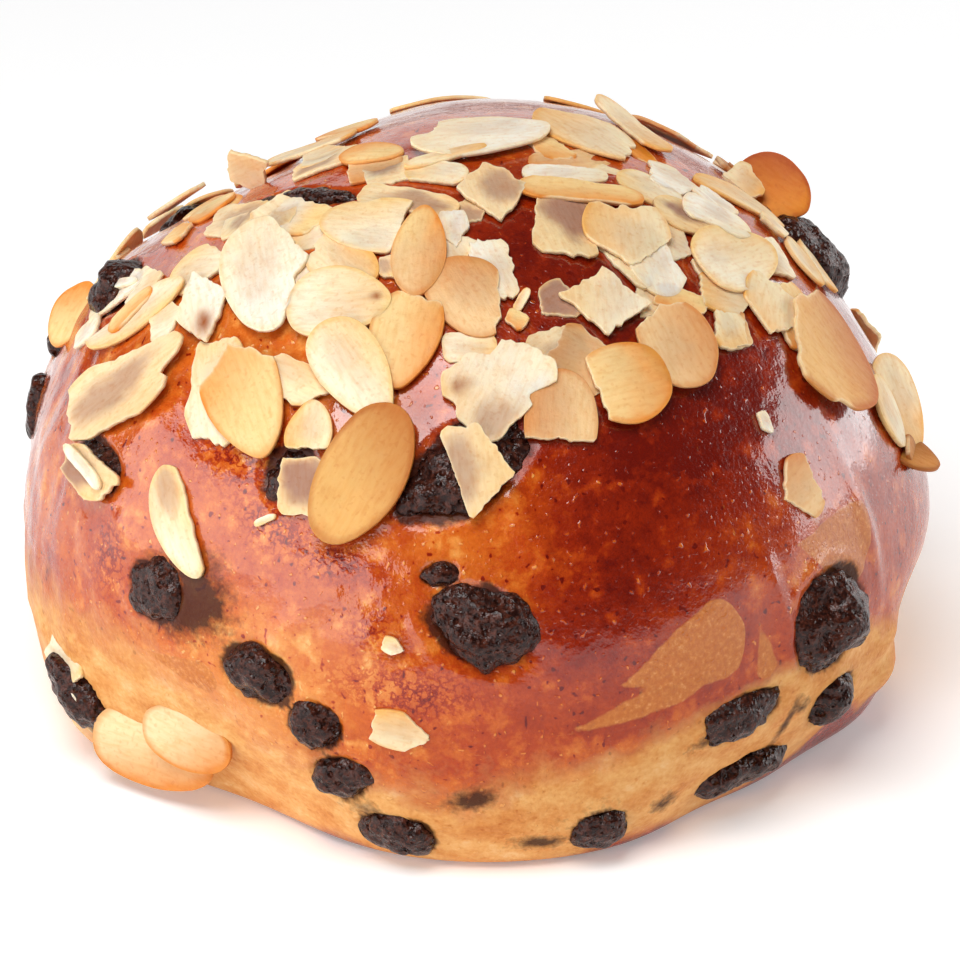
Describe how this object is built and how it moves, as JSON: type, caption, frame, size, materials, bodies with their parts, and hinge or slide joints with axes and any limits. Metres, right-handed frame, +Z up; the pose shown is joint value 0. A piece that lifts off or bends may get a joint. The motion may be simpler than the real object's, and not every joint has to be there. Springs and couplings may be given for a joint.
{
  "type": "chocolate chip bun",
  "caption": "Round glazed sweet bun, domed on a flat underside, with chocolate chips baked into the crust and toasted almond slices on its crown. Food prop.",
  "frame": {"origin": "middle of the flat underside, on the surface the bun rests on", "axes": "+Z up through the crown; -Y is the front of the bun, +X its right seen from the front"},
  "size_m": [0.1112, 0.11, 0.0723],
  "materials": {
    "crust": "glazed crust",
    "chocolate": "baked chocolate"
  },
  "bodies": {
    "root": {"bun": "crust", "chip_01": "chocolate", "chip_02": "chocolate", "chip_03": "chocolate", "chip_04": "chocolate", "chip_05": "chocolate", "chip_06": "chocolate", "chip_07": "chocolate", "chip_08": "chocolate", "chip_09": "chocolate", "chip_10": "chocolate", "chip_11": "chocolate", "chip_12": "chocolate", "chip_13": "chocolate", "chip_14": "chocolate", "chip_15": "chocolate", "chip_16": "chocolate", "chip_17": "chocolate", "chip_18": "chocolate", "chip_19": "chocolate", "chip_20": "chocolate", "chip_21": "chocolate", "chip_22": "chocolate", "chip_23": "chocolate", "chip_24": "chocolate", "chip_25": "chocolate", "chip_26": "chocolate", "chip_27": "chocolate", "chip_28": "chocolate", "chip_29": "chocolate", "chip_30": "chocolate", "chip_31": "chocolate", "chip_32": "chocolate", "chip_33": "chocolate"}
  },
  "joints": []
}
